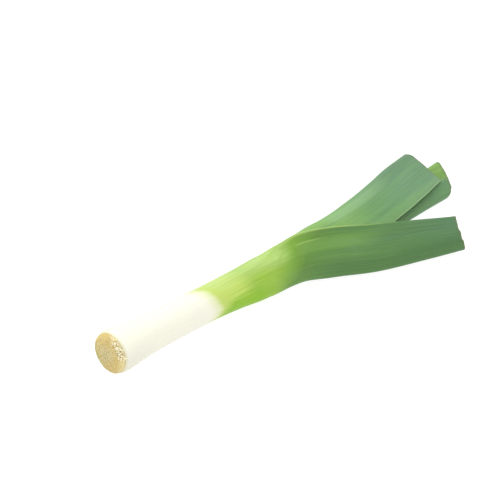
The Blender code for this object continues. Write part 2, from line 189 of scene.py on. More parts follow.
def along(points, x):
    """Value at x of a smooth curve through (position, value) points that never overshoots them."""
    position, value = (np.array(column, float) for column in zip(*points))
    if x <= position[0]:
        return float(value[0])
    gap = np.diff(position)
    rise = np.diff(value) / gap
    slope = np.zeros(len(position))
    slope[0], slope[-1] = rise[0], rise[-1]
    one_way = rise[:-1] * rise[1:] > 0
    left, right = (np.where(one_way, part, 1.0) for part in (rise[:-1], rise[1:]))
    weight_left, weight_right = 2 * gap[1:] + gap[:-1], gap[1:] + 2 * gap[:-1]
    mean = (weight_left + weight_right) / (weight_left / left + weight_right / right)
    slope[1:-1] = np.where(one_way, mean, 0.0)
    if x >= position[-1]:
        return float(value[-1] + slope[-1] * (x - position[-1]))
    i = int(np.searchsorted(position, x)) - 1
    h, t = gap[i], (x - position[i]) / gap[i]
    return float((2 * t**3 - 3 * t**2 + 1) * value[i] + (t**3 - 2 * t**2 + t) * h * slope[i]
                 + (3 * t**2 - 2 * t**3) * value[i + 1] + (t**3 - t**2) * h * slope[i + 1])


def sheath(order, x):
    """Outer radius and wall of the sheath of one leaf, where 0 is the outermost."""
    radius = along(SHANK_RADIUS, x)
    s = smooth(x, *SHARES_CHANGE)
    outer_share, inner_share = (SHARE_AT_BASE[k] * (1 - s) + SHARE_AT_THROAT[k] * s for k in (order, order + 1))
    outer = radius * outer_share - (SHEATH_GAP / 2 if order else 0)
    inner = max(radius * inner_share + SHEATH_GAP / 2, 0)
    return outer, outer - inner


def wall_of(leaf, x):
    """Thickness of a leaf: thick in the shank, thin in the blade."""
    outer, wall = sheath(leaf.order, min(x, leaf.throat))
    if leaf.solid_to:
        s = smooth(x, leaf.solid_to, leaf.solid_to + CORE_OPENS)
        wall = (outer - CORE_HOLLOW) * (1 - s) + CORE_WALL * s
    s = smooth(x, leaf.throat - 10, leaf.opened)
    return wall * (1 - s) + leaf.wall * s


def ring_radius(leaf, x):
    """Radius of the middle of the sheath wall."""
    outer = sheath(leaf.order, min(x, SHANK_END))[0] * (1 - leaf.shrink * smooth(x, *INNER_SHRINK))
    return outer - wall_of(leaf, x) / 2


def keel_on_ring(leaf, x):
    """Y and Z of the keel while the leaf is still a closed ring."""
    roll, radius = math.radians(along(leaf.roll, x)), ring_radius(leaf, x)
    lift = along(INNER_LIFT, x) if leaf.order else 0.0
    return along(SIDEWAYS_BEND, x) - math.sin(roll) * radius, AXIS_HEIGHT + lift + math.cos(roll) * radius


def keel_at(leaf, x):
    """Y and Z of the keel, on the ring as far as the throat and along its own curve beyond."""
    if x <= leaf.throat - KEEL_LEAVES_RING:
        return keel_on_ring(leaf, x)
    last_on_ring = [(q, *keel_on_ring(leaf, q)) for q in (
        leaf.throat - 30, leaf.throat - 18, leaf.throat - KEEL_LEAVES_RING, leaf.throat)]
    points = last_on_ring + list(leaf.keel)
    return tuple(along([(p[0], p[k]) for p in points], x) for k in (1, 2))


def half_width(leaf, widths, x):
    """Width of one half of the leaf, measured over its curve from keel to margin."""
    if x <= leaf.throat:
        return math.pi * ring_radius(leaf, x)
    ring = math.pi * ring_radius(leaf, leaf.throat)
    return along(((leaf.throat - 1, ring), (leaf.throat, ring)) + widths, x)


def vein_heights(leaf, side):
    """Height of each vein on one half, from 0 to 1. The keel's and the seam's are shared by both halves."""
    draw = np.random.default_rng(40 + leaf.order * 2 + (side > 0))
    heights = draw.uniform(0.25, 1.0, leaf.veins + 1)
    heights[0], heights[-1] = 1.0, 0.6
    return heights


def directions(leaf, x):
    """Unit vectors of the section at x: ahead along the leaf, across from its keel, and outward at the keel."""
    turned = math.atan2(keel_at(leaf, x + KEEL_LOOK)[0] - keel_at(leaf, x - KEEL_LOOK)[0], 2 * KEEL_LOOK)
    turned *= smooth(x, leaf.throat - 5, leaf.opened - 10)
    ahead = np.array((math.cos(turned), math.sin(turned), 0.0))
    sideways = np.array((-math.sin(turned), math.cos(turned), 0.0))
    upward = np.array((0.0, 0.0, 1.0))
    roll = math.radians(along(leaf.roll, x))
    across = leaf.rank * (math.cos(roll) * sideways + math.sin(roll) * upward)
    outward = -math.sin(roll) * sideways + math.cos(roll) * upward
    return ahead, across, outward


def half_section(leaf, x, side):
    """One half of the section at x, from the keel to the margin. The upper half's side is 1, the lower one's -1.

    Returns outer and inner points, and for each column the vein it lies on (signed as the side),
    the distance to the margin and the height of the vein.
    """
    widths, folds, slant = ((leaf.width_up, leaf.fold_up, leaf.slant_up) if side > 0 else
                            (leaf.width_low, leaf.fold_low, leaf.slant_low))
    ahead, across, outward = directions(leaf, x)
    blade = float(smooth(x, leaf.throat, leaf.opened))
    width, fold = half_width(leaf, widths, x), math.radians(along(folds, x))

    # The half's curve in fine steps: how far it has turned, then how far it has come across and inwards
    t = np.linspace(0, width, HALF_STEPS + 1)
    turn = (1 - blade) * t / ring_radius(leaf, x) + blade * fold * (1 - np.exp(-t / leaf.nose))
    if leaf.flare and side > 0:
        turn -= math.radians(along(leaf.flare, x)) * np.clip((t / width - 1) / FLARED + 1, 0, 1)
    middle = (turn[1:] + turn[:-1]) / 2
    curve = [np.r_[0, np.cumsum(part(middle))] * width / HALF_STEPS for part in (np.cos, np.sin)]

    # The columns picked from it
    share = np.linspace(0, 1, leaf.facets + 1)
    at = ((1 - blade) * share + blade * share**KEEL_CROWDING) * width
    out, inwards, angle = (np.interp(at, t, v) for v in (*curve, turn))
    bulge = along(leaf.bulge, x) * np.exp(-(at / leaf.bulge_spread) ** 2) if leaf.bulge else 0.0
    slide = float(smooth(x, leaf.end - CUT_REACH, leaf.end)) * slant * (1 - np.exp(-at / leaf.slant_reach))
    line = (np.array((x, *keel_at(leaf, x))) + np.outer(side * out, across) + np.outer(bulge - inwards, outward)
            + np.outer(slide, ahead))
    normal = np.outer(side * np.sin(angle), across) + np.outer(np.cos(angle), outward)

    to_margin = width - at
    rounded = np.sqrt(1 - (1 - np.clip(to_margin / MARGIN_REACH, 0, 1)) ** 2)
    keel = blade * leaf.keel_wall * np.exp(-(at / KEEL_REACH) ** 2)
    thick = wall_of(leaf, x) * (1 - BLADE_THINS * blade * at / width) + keel
    thick = thick * (1 - blade + blade * (MARGIN_LEFT + (1 - MARGIN_LEFT) * rounded))
    vein = at / width * leaf.veins
    heights = np.interp(np.round(vein), np.arange(leaf.veins + 1), vein_heights(leaf, side))
    rib = heights * (0.5 + 0.5 * np.cos(2 * math.pi * vein)) ** 2
    relief = rib * VEIN_RELIEF * (0.3 + 0.7 * blade) * np.clip(to_margin / 2.0 + 1 - blade, 0, 1)
    outer = line + normal * (thick / 2 + relief)[:, None]
    inner = line - normal * (thick / 2 - relief * INNER_RELIEF)[:, None]
    closed = 1 - float(smooth(x, leaf.throat, leaf.throat + 12))
    return outer, inner, (side * vein, to_margin + CLOSED_MARGIN * closed, rib)


def section(leaf, x):
    """The section at x, from the upper margin round the keel to the lower margin, as half_section returns it."""
    upper, lower = (half_section(leaf, x, side) for side in (1, -1))
    joined = lambda up, low: np.concatenate((up[::-1], low[1:]))
    outer, inner = (joined(upper[k], lower[k]) for k in (0, 1))
    floor = along(leaf.floor, x)
    outer[:, 2] = np.maximum(outer[:, 2], floor)
    inner[:, 2] = np.maximum(inner[:, 2], floor + FLAT_SKIN)
    return outer, inner, [joined(*values) for values in zip(upper[2], lower[2])]


def places_along(leaf):
    """Positions of the sections of one leaf, close together at its rounded start and its cut end."""
    first = [leaf.start + d for d in START_PLACES]
    step = INNER_SHEATH_STEP if leaf.order else OUTER_SHEATH_STEP
    in_sheath = list(np.arange(first[-1] + step, leaf.throat - 4, step))
    count = round((leaf.end - 1.0 - leaf.throat) / BLADE_STEP)
    in_blade = list(np.linspace(leaf.throat, leaf.end - 1.0, count))
    return first + in_sheath + in_blade + [leaf.end - 0.4, leaf.end]


def cut_wave(leaf, columns):
    """How far each column of a leaf's cut end stands out: fine notches on a slower wave."""
    draw = np.random.default_rng(7 + leaf.order)
    reach = np.zeros(columns)
    for pitch, low, high in CUT_WAVES:
        knots = np.arange(0, columns + pitch, pitch)
        reach += np.interp(np.arange(columns), knots, draw.uniform(low, high, len(knots)))
    return reach


def into_frame(points):
    """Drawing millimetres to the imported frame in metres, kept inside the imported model's box."""
    moved = (np.asarray(points, float) + ROOT_END) * MM
    return np.clip(moved, np.array(cad_box[0]), np.array(cad_box[1]))


def leaf_faces(leaf, places, columns):
    """Corners of a leaf's faces: both skins, the margins past the throat, the cut end and the start."""
    rows = len(places)
    outer = np.arange(rows * columns).reshape(rows, columns)
    inner = outer + rows * columns

    def band(first, second):
        return np.stack((first[:-1], first[1:], second[1:], second[:-1]), -1)

    def skin(grid):
        return np.stack((grid[:-1, :-1], grid[1:, :-1], grid[1:, 1:], grid[:-1, 1:]), -1).reshape(-1, 4)

    hollow_from = next(r for r, x in enumerate(places) if x >= (leaf.solid_to or 0))
    open_from = next(r for r, x in enumerate(places) if x > leaf.throat) - 1
    faces = [skin(outer), skin(inner[hollow_from:])[:, ::-1], band(inner[open_from:, 0], outer[open_from:, 0]),
             band(outer[open_from:, -1], inner[open_from:, -1]), band(inner[-1], outer[-1])]
    if not leaf.solid_to:
        return np.concatenate(faces + [band(outer[0], inner[0])]).tolist()
    return np.concatenate(faces).tolist() + [outer[0, :-1].tolist(), inner[hollow_from, :-1].tolist()[::-1]]


def carry(mesh, name, values):
    """Stores one value for each point of a mesh."""
    mesh.attributes.new(name, "FLOAT", "POINT").data.foreach_set("value", np.asarray(values, np.float32).ravel())


def leaf_piece(leaf):
    """The finished mesh of one leaf, closed, with the values its finish reads."""
    places = places_along(leaf)
    outer, inner, carried = zip(*(section(leaf, x) for x in places))
    skins = np.array((outer, inner))
    rows, columns = skins.shape[1:3]
    skins[..., 0] += smooth(places, leaf.end - CUT_WAVE_REACH, leaf.end)[:, None] * cut_wave(leaf, columns)
    mesh = bpy.data.meshes.new(leaf.name + "_grown")
    mesh.from_pydata(into_frame(skins.reshape(-1, 3)).tolist(), [], leaf_faces(leaf, places, columns))

    vein, margin, rib = (np.array([values[k] for values in carried]) for k in range(3))
    x = np.repeat(np.array(places)[:, None], columns, 1)
    run = np.tile(np.stack((vein * HALF_WIDTH / leaf.veins, x), -1).reshape(-1, 2) * MM, (2, 1))
    corners = np.zeros(len(mesh.loops), int)
    mesh.loops.foreach_get("vertex_index", corners)
    mesh.uv_layers.new(name="run").data.foreach_set("uv", run[corners].astype(np.float32).ravel())
    for name, values in (("margin", margin * MM), ("rib", rib), ("cut", x > leaf.end - 0.2)):
        carry(mesh, name, (values, values))
    carry(mesh, "lining", np.repeat((0.0, 1.0), rows * columns))

    shape = bmesh.new()
    shape.from_mesh(mesh)
    bmesh.ops.remove_doubles(shape, verts=shape.verts, dist=2e-6)
    bmesh.ops.delete(shape, geom=[v for v in shape.verts if not v.link_faces], context="VERTS")
    bmesh.ops.recalc_face_normals(shape, faces=shape.faces)
    shape.to_mesh(mesh)
    shape.free()
    mesh.polygons.foreach_set("use_smooth", [True] * len(mesh.polygons))
    mesh.set_sharp_from_angle(angle=math.radians(55))
    return placed(mesh)


def placed(mesh):
    """An object of the mesh's own name, in the scene."""
    made = bpy.data.objects.new(mesh.name, mesh)
    bpy.context.scene.collection.objects.link(made)
    return made


# ---------------------------------------------------------------- node trees

class Wire:
    """A socket of a node tree. Arithmetic on it adds Math nodes."""

    def __init__(self, bench, socket):
        self.bench, self.socket = bench, socket

    def maths(self, operation, *terms, **settings):
        return self.bench.node("ShaderNodeMath", {"operation": operation, **settings}, dict(enumerate(terms)))

    def __add__(self, other):
        return self.maths("ADD", self, other)

    def __sub__(self, other):
        return self.maths("SUBTRACT", self, other)

    def __rsub__(self, other):
        return self.maths("SUBTRACT", other, self)

    def __mul__(self, other):
        return self.maths("MULTIPLY", self, other)

    def __truediv__(self, other):
        return self.maths("DIVIDE", self, other)

    def __pow__(self, other):
        return self.maths("POWER", self, other)

    def __neg__(self):
        return self.maths("MULTIPLY", self, -1.0)

    __radd__, __rmul__ = __add__, __mul__

    def magnitude(self):
        return self.maths("ABSOLUTE", self)

    def held(self):
        """Kept between 0 and 1."""
        return self.maths("ADD", self, 0.0, use_clamp=True)

    def ramp(self, start, end, low=0.0, high=1.0):
        """An even rise from low at start to high at end."""
        return self.bench.node("ShaderNodeMapRange", {"interpolation_type": "SMOOTHSTEP"},
                               {"Value": self, "From Min": start, "From Max": end, "To Min": low, "To Max": high})


class Bench:
    """Adds nodes to one tree."""

    def __init__(self, tree):
        self.tree = tree

    def node(self, kind, settings=(), sockets=(), out=0):
        """One node: its settings first, then its sockets' values or links. Returns one output."""
        made = self.tree.nodes.new(kind)
        for name, value in dict(settings).items():
            if name == "stops":
                stops = made.color_ramp.elements
                for _ in range(len(value) - len(stops)):
                    stops.new(0.5)
                for stop, (position, color) in zip(stops, value):
                    stop.position = position
                for stop, (position, color) in zip(stops, value):
                    stop.color = (*color, 1.0)
            else:
                setattr(made, name, value)
        for name, value in dict(sockets).items():
            target = made.inputs[name]
            if isinstance(value, Wire):
                self.tree.links.new(value.socket, target)
            else:
                target.default_value = value
        return Wire(self, made.outputs[out])

    def part(self, vector, axis):
        """The X, Y or Z of a vector, where axis is 0, 1 or 2."""
        return self.node("ShaderNodeSeparateXYZ", (), {0: vector}, out=axis)

    def vectors(self, operation, first, second):
        return self.node("ShaderNodeVectorMath", {"operation": operation}, {0: first, 1: second})


def shade(red, green, blue):
    """A colour given as 0 to 255, in the linear values that Blender takes."""
    return tuple(((v / 255 + 0.055) / 1.055) ** 2.4 if v > 10 else v / 255 / 12.92 for v in (red, green, blue))


class Finish(Bench):
    """A surface finish: a material whose colour is built up in steps and varies over the piece."""

    def __init__(self, name, roughness, specular, bleed=0.0):
        self.material = bpy.data.materials.new(name)
        self.material.use_nodes = True
        super().__init__(self.material.node_tree)
        self.shader = self.tree.nodes["Principled BSDF"]
        self.shader.inputs["Roughness"].default_value = roughness
        self.shader.inputs["Specular IOR Level"].default_value = specular
        if bleed:
            self.shader.inputs["Subsurface Weight"].default_value = bleed
            self.shader.inputs["Subsurface Radius"].default_value = (1.0, 0.9, 0.45)
            self.shader.inputs["Subsurface Scale"].default_value = 0.002
        self.color = None

    def place(self):
        """The point's place in the object."""
        return self.node("ShaderNodeTexCoord", out="Object")

    def run(self):
        """The point's place over the leaf: across its veins and along it."""
        return self.node("ShaderNodeUVMap", {"uv_map": "run"})

    def value(self, name):
        """A value that the mesh carries."""
        return self.node("ShaderNodeAttribute", {"attribute_name": name}, out="Fac")

    def noise(self, vector, patches, detail, roughness, seed):
        """Soft noise from -0.5 to 0.5, in patches of these sizes in metres."""
        moved = self.vectors("ADD", self.vectors("DIVIDE", vector, patches), (seed, seed * 0.7, seed * 1.3))
        return self.node("ShaderNodeTexNoise", (), {"Vector": moved, "Scale": 1.0, "Detail": detail,
                                                    "Roughness": roughness}) - 0.5

    def ground(self, value, stops):
        """Starts the colour, as the one at value between (value, colour) stops."""
        low, high = stops[0][0], stops[-1][0]
        placed_stops = [((v - low) / (high - low), shade(*c)) for v, c in stops]
        self.color = self.node("ShaderNodeValToRGB", {"stops": placed_stops}, {"Fac": (value - low) / (high - low)})

    def tint(self, mask, color):
        """Mixes a colour, or another finish's colour as a wire, into this one where the mask is above 0."""
        second = color if isinstance(color, Wire) else (*shade(*color), 1.0)
        self.color = self.node("ShaderNodeMix", {"data_type": "RGBA"}, {0: mask, 6: self.color, 7: second}, out=2)

    def tone(self, value, saturation=1.0):
        """Makes the colour lighter by value and more vivid by saturation."""
        self.color = self.node("ShaderNodeHueSaturation", (), {"Value": value, "Saturation": saturation,
                                                               "Color": self.color})

    def done(self, roughness, height, depth):
        """Joins the colour, any varying roughness and the relief to the shader, and returns the material."""
        self.tree.links.new(self.color.socket, self.shader.inputs["Base Color"])
        if roughness:
            self.tree.links.new(roughness.socket, self.shader.inputs["Roughness"])
        bump = self.node("ShaderNodeBump", (), {"Height": height, "Strength": 1.0, "Distance": depth})
        self.tree.links.new(bump.socket, self.shader.inputs["Normal"])
        return self.material


# ---------------------------------------------------------------- finishes

# Colours of a leek, as 0 to 255
WHITE, CREAM, PALE_LIME = (230, 229, 213), (217, 222, 180), (183, 203, 101)
LIME, VIVID, GRASS = (146, 181, 62), (126, 177, 16), (117, 158, 53)
# The last of these is painted shade for the blade's low side
LEAF, BLUE_LEAF, SHADED_GREEN = (89, 130, 53), (83, 121, 86), (66, 106, 54)
# The wax colour is that of the pale veins, and also of a painted highlight on the collar's top
WAX_AND_HIGHLIGHT, PALE_LINE = (182, 206, 134), (163, 191, 110)
FRESH_CUT, DRIED = (126, 140, 98), (104, 112, 80)
# The first of these is a painted reflection and shade, cast by a neighbouring leek
BOUNCE_CREAM, STRAW = (208, 208, 160), (202, 194, 142)
PLATE_PALE, PLATE_DARK, PLATE_OLIVE = (232, 218, 178), (166, 140, 80), (172, 170, 100)
PLATE_GOLD, PLATE_TAN, PLATE_RING = (206, 176, 100), (206, 180, 106), (158, 146, 86)


class LeafFinish(Finish):
    """Finish of one leaf: colours along it, with streaks along its veins and soft patches.

    Its wires place the leaf's own marks: x, y and z in millimetres, across its veins (negative on the
    lower half), at for the place that its colours are laid by, and the noises streaks and patches.
    """

    def __init__(self, leaf, colors, yellowish, bluish):
        super().__init__(leaf.name + "_skin", 0.42, 0.30, bleed=0.10)
        seed = 1.0 + 4.0 * leaf.order
        self.end = leaf.end
        place, run = self.place(), self.run()
        self.x, self.across = x, across = self.part(run, 1) * 1000, self.part(run, 0) * 1000
        self.y, self.z = y, z = self.part(place, 1) * 1000 - ROOT_END[1], self.part(place, 2) * 1000

        def drawn_out(on_blade, on_shank, detail, blade_seed, shank_seed):
            """Noise drawn out along the veins of the blade and along the shank."""
            over_ring = self.noise(place, on_shank, detail, 0.5, seed + shank_seed)
            over_veins = self.noise(run, on_blade, detail, 0.5, seed + blade_seed)
            return over_ring + (over_veins - over_ring) * x.ramp(150, 215)

        self.streaks = streaks = drawn_out((0.0011, 0.080, 1.0), (0.110, 0.0014, 0.0014), 2.0, 0, 3)
        bands = drawn_out((0.0055, 0.085, 1.0), (0.070, 0.0045, 0.0045), 1.5, 7, 9)
        dashes = self.noise(run, (0.0009, 0.017, 1.0), 1.5, 0.5, seed + 17)
        self.patches = self.noise(run, (0.012, 0.040, 1.0), 2.0, 0.5, seed + 11)

        # The shank turns green sooner on its far side, and the opening blade later on its top
        in_shank = 1 - x.ramp(118, 158)
        over_top = (0.75 + 0.45 * (1 - z.ramp(6, 22))) * x.ramp(150, 178) * (1 - x.ramp(205, 245))
        self.at = x + y * 0.72 * in_shank - (z - 20) * over_top + streaks * 6 + bands * 6
        self.ground(self.at, colors)
        green, open_blade = self.at.ramp(97, 112), x.ramp(180, 225)
        self.tint(bands.ramp(0.02, 0.20) * open_blade * 0.25, yellowish)
        self.tint((-bands).ramp(0.02, 0.20) * open_blade * 0.35, bluish)
        self.tone(1 + streaks * (0.05 + 0.33 * green) + (dashes * 0.16 + bands * 0.24) * green,
                  1 + self.patches * 0.25 * green)

    def finished(self, margin_line, line=PALE_LINE):
        """Adds the veins, the margin's pale line (partly a painted highlight on the edge), the dried cut end and the
        lining, and returns the material.
        """
        rib, lining = self.value("rib"), self.value("lining")
        self.tint(rib * self.at.ramp(98, 135) * 0.05, WAX_AND_HIGHLIGHT)
        # The pale margin, partly a painted highlight on its edge
        margin = self.value("margin") * self.x.ramp(182, 212, 0.32, 1.0)
        self.tint((1 - margin.ramp(0.0003, 0.0012)) * margin_line, line)
        dried = (self.x + self.patches * 4 + self.streaks * 5).ramp(self.end - 3.6, self.end + 0.4)
        self.tint(dried * 0.7, DRIED)
        self.tone(1 + 0.12 * lining, 1 + 0.04 * lining)
        self.tint(self.value("cut") * 0.6, FRESH_CUT)
        roughness = 0.46 + 0.12 * self.streaks + 0.06 * self.patches - 0.05 * lining
        fine = self.noise(self.run(), (0.0005, 0.030, 1.0), 2.0, 0.6, 5.0)
        return self.done(roughness, (fine + 0.5) * self.x.ramp(100, 200, 0.5, 1.0) + rib * 0.4, 0.00010)


def outer_leaf_skin(leaf):
    """The white shank, its lime top and vivid low side, and the blade that darkens from its throat, with painted
    highlights on the collar, blade, fold and margin, painted shade on the low sides, and painted bounce light on the
    shank's far top.
    """
    paint = LeafFinish(leaf, ((60, WHITE), (81, WHITE), (89, CREAM), (95, PALE_LIME), (119, (177, 200, 90)),
                              (136, LIME), (160, (143, 178, 62)), (176, GRASS), (194, LEAF), (230, (86, 126, 66)),
                              (275, (83, 122, 73)), (330, BLUE_LEAF)), (96, 138, 60), (78, 121, 84))
    at, x, y, z, streaks = paint.at, paint.x, paint.y, paint.z, paint.streaks
    # Waxy bloom with a painted highlight on the top of the collar, where light falls from above
    bloom_and_highlight = z.ramp(23, 31) * at.ramp(94, 104) * (1 - x.ramp(172, 189))
    paint.tint(bloom_and_highlight * (0.45 + streaks * 1.2).held(), WAX_AND_HIGHLIGHT)
    low_side = (1 - (z + streaks * 13).ramp(14, 24)) * (x - z * 0.9 + streaks * 12).ramp(89, 104)
    paint.tint(low_side * (1 - 0.6 * y.ramp(0, 9)) * (1 - x.ramp(128, 176)) * 0.85, VIVID)
    # Painted shade: the blade darker on its low side
    paint.tint((1 - z.ramp(10, 26)) * x.ramp(180, 225) * 0.75, SHADED_GREEN)
    # Painted shade: the shank darker on its low side, most near the root end
    paint.tone(1 - (1 - z.ramp(12, 27)) * (1 - x.ramp(150, 190)) * (0.06 + 0.08 * (1 - x.ramp(4, 40))))
    # Painted reflection and shade: the shank's far top creamier and duller, as if lit by light bounced from a
    # neighbouring leek
    neighbour_bounce = y.ramp(1.5, 9.0) * z.ramp(17, 24) * (1 - x.ramp(80, 110))
    paint.tint(neighbour_bounce * 0.4, BOUNCE_CREAM)
    # Painted highlight: a lighter band along the blade's upper side, about 29.5 mm high
    highlight_band = (z - 29.5).magnitude().ramp(1.5, 6.0, 1.0, 0.0) * x.ramp(186, 198) * (1 - x.ramp(222, 268))
    paint.tint(highlight_band * 0.55, (112, 155, 72))

    # Painted highlight: the pale line along the crease where the margin folds back at the throat, 8.4 mm from it
    upper_half = paint.across.ramp(0.0, 2.0)
    fold = (paint.value("margin") * 1000 - 8.4).magnitude() * upper_half
    fold = (1 - fold.ramp(0.25, 1.0)) * x.ramp(186, 194) * (1 - x.ramp(199, 216)) * upper_half
    paint.tint(fold * 0.42, PALE_LINE)
    speckle = paint.noise(paint.place(), (0.0014,) * 3, 3.0, 0.6, 20.0)
    paint.tint((1 - (x + speckle * 3).ramp(1.6, 4.6)) * 0.5, STRAW)
    return paint.finished(upper_half * x.ramp(165, 200, 0.45, 1.0) * (1 - x.ramp(205, 285)) * 0.85)


def second_leaf_skin(leaf):
    """The broad blue-green blade with a painted highlight along its ridge, and painted shade that darkens it from its
    keel down towards the tip.
    """
    paint = LeafFinish(leaf, ((100, CREAM), (150, PALE_LIME), (185, LIME), (216, (121, 162, 80)),
                              (255, (114, 158, 85)), (290, (100, 144, 89)), (330, (99, 140, 98)),
                              (400, (100, 139, 100))), (114, 157, 80), (92, 134, 107))
    x, across = paint.x, paint.across
    # Painted highlight along the ridge, about 7 mm from the keel, where the blade faces up
    ridge_highlight = (across - 7.0).magnitude().ramp(1.0, 6.5, 1.0, 0.0) * x.ramp(238, 254) * (1 - x.ramp(285, 350))
    paint.tint(ridge_highlight * 0.62, (135, 173, 124))
    # Painted shade: darker at the keel, where the blade turns away, more so towards the tip
    paint.tone(1 - 0.16 * (1 - across.ramp(5, 14)) * x.ramp(285, 360))
    upper_margin = (across - 36).magnitude().ramp(2.0, 9.0, 1.0, 0.0)
    paint.tint(upper_margin * x.ramp(240, 280) * 0.25, (116, 155, 98))
    paint.tone(1 - 0.07 * (-across).ramp(12, 28) * x.ramp(250, 300))
    return paint.finished(0.75, (146, 181, 124))


def third_leaf_skin(leaf):
    """A plain dark green blade."""
    paint = LeafFinish(leaf, ((120, CREAM), (170, PALE_LIME), (205, GRASS), (240, LEAF), (290, (90, 130, 70)),
                              (350, (87, 128, 81)), (410, (89, 131, 85))), (105, 146, 77), (85, 128, 90))
    return paint.finished(0.3)


def inner_leaf_skin(leaf):
    """The youngest leaf, yellow-green with lighter streaks at its tip."""
    paint = LeafFinish(leaf, ((150, CREAM), (200, PALE_LIME), (240, (140, 173, 94)), (300, (129, 165, 90)),
                              (385, (113, 154, 74)), (420, (113, 155, 75))), (131, 168, 78), (104, 139, 101))
    paint.tint(paint.streaks.ramp(0.0, 0.15) * paint.x.ramp(370, 400) * 0.60, (140, 175, 100))
    return paint.finished(0.5, (150, 184, 118))


def lay_plate_color(paint):
    """Tan and fibrous, greyer in the middle, golden low on the right and olive at the left, with painted shade
    beneath the tuft of long roots. Returns the relief.
    """
    place = paint.place()
    y = paint.part(place, 1) * 1000 - ROOT_END[1]
    z = paint.part(place, 2) * 1000 - AXIS_HEIGHT
    radius = (y * y + z * z) ** 0.5
    angle = y.maths("ARCTAN2", y, z)
    polar = paint.node("ShaderNodeCombineXYZ", (), {0: angle.maths("SINE", angle) * 9,
                                                    1: angle.maths("COSINE", angle) * 9, 2: radius * 0.16})
    fibres = paint.noise(polar, (1.0,) * 3, 4.0, 0.65, 2.0)
    grain = paint.noise(place, (0.0009,) * 3, 3.0, 0.6, 4.0)
    patches = paint.noise(place, (0.006,) * 3, 2.0, 0.5, 6.0)
    paint.ground(radius + patches * 6, ((0, (202, 192, 146)), (6, (204, 190, 138)), (11, (203, 184, 122)),
                                        (14, (200, 181, 118)), (16, (196, 177, 120))))
    paint.tint(fibres.ramp(0.0, 0.22) * 0.35, PLATE_PALE)
    paint.tint((1 - fibres.ramp(-0.20, -0.04)) * 0.4, PLATE_DARK)
    paint.tint(grain.ramp(0.05, 0.25) * 0.35, (226, 208, 158))
    left_low = y * 0.8 - z * 0.6
    paint.tint((left_low + patches * 5).ramp(4, 12) * 0.85, PLATE_OLIVE)
    paint.tint((y * -0.85 - z * 0.2).ramp(8, 14) * 0.5, (224, 214, 168))
    right_low = (y * -0.5 - z * 0.85 + patches * 8).ramp(2, 10) * (1 - radius.ramp(11, 15))
    paint.tint(right_low * 0.45, PLATE_GOLD)
    paint.tint((z + patches * 6).ramp(5, 11) * 0.40, PLATE_TAN)
    ring = (radius - 12.7 + grain * 1.2).magnitude().ramp(0.2, 0.9, 1.0, 0.0)
    paint.tint(ring * left_low.ramp(2, 9) * 0.4, PLATE_RING)
    paint.tint((z * 0.75 - y * 0.65 + grain * 2).ramp(11.0, 14.5) * 0.6, (228, 220, 184))
    # Painted shade beneath the tuft of long roots
    paint.tint(tuft_mask(y, z, radius) * 0.12, (128, 108, 66))
    return fibres * 0.7 + grain * 0.5


def plate_skin():
    """The root plate's own skin."""
    paint = Finish("root_plate_skin", 0.75, 0.25, bleed=0.1)
    relief = lay_plate_color(paint)
    return paint.done(None, relief, 0.0005)


def cut_root_skin():
    """Cut roots: the short ones much like the plate, the tuft nearly white, and all pale at the cut."""
    paint = Finish("cut_root_skin", 0.7, 0.3, bleed=0.15)
    lay_plate_color(paint)
    plate_color = paint.color
    tone = paint.value("tone")
    grain = paint.noise(paint.place(), (0.0007,) * 3, 3.0, 0.6, 8.0)
    paint.ground(tone, ((0, (178, 146, 84)), (0.35, (204, 178, 112)), (0.7, (222, 204, 150)),
                        (1.0, (240, 232, 202))))
    paint.tint((1 - grain.ramp(-0.2, 0.0)) * 0.2, (150, 118, 62))
    paint.tint((1 - tone.ramp(0.6, 0.75)) * 0.7, plate_color)
    paint.tint(paint.value("tip").ramp(0.75, 1.0) * 0.4, (236, 226, 190))
    return paint.done(None, grain, 0.0003)


# ---------------------------------------------------------------- root end

def plate_piece():
    """The root plate: a turned dome with radial fibres and a knobbly face."""
    draw = np.random.default_rng(3)
    angles = np.arange(PLATE_SIDES) * 2 * math.pi / PLATE_SIDES
    waves = [(k, draw.uniform(0, 6.3), draw.uniform(0.2, 1)) for k in range(9, 60, 3)]
    fibre = sum(size * np.cos(k * angles + turn) for k, turn, size in waves) / 4
    fronts, radii = (np.array(column) for column in zip(*PLATE_DOME))
    dome = [(float(np.interp(r, radii, fronts)), r, 1.0) for r in np.linspace(0.35, radii[-1], DOME_RINGS)]
    shape = bmesh.new()
    rows = []
    for x, r, amount in dome + list(PLATE_BACK):
        lumps = fibre * (0.25 + 0.75 * r / 15) + 0.9 * np.sin(r * 2.1 + 1.3 * np.sin(angles * 3 + r * 0.6))
        lift = amount * (0.12 - 0.16 * (lumps + 0.4))
        ring = np.stack((x + lift, r * np.sin(angles), AXIS_HEIGHT + r * np.cos(angles)), -1)
        rows.append([shape.verts.new(p) for p in into_frame(ring)])
    around = [(k, (k + 1) % PLATE_SIDES) for k in range(PLATE_SIDES)]
    for row, following in zip(rows, rows[1:]):
        for k, n in around:
            shape.faces.new((row[k], following[k], following[n], row[n]))
    for row, x in ((rows[0], PLATE_DOME[0][0]), (rows[-1], PLATE_BACK[-1][0])):
        centre = shape.verts.new(into_frame([(x, 0, AXIS_HEIGHT)])[0])
        for k, n in around:
            shape.faces.new((row[k], row[n], centre))
    bmesh.ops.recalc_face_normals(shape, faces=shape.faces)
    mesh = bpy.data.meshes.new("root_plate_disc")
    shape.to_mesh(mesh)
    shape.free()
    mesh.polygons.foreach_set("use_smooth", [True] * len(mesh.polygons))
    return placed(mesh)


def tuft_mask(y, z, radius):
    """1 where the longest cut roots stand, at the upper right of the plate's rim. Wires in millimetres."""
    return ((y * -0.82 + z * 0.57) / (radius + 0.01)).ramp(0.82, 0.92) * radius.ramp(11.0, 12.8)


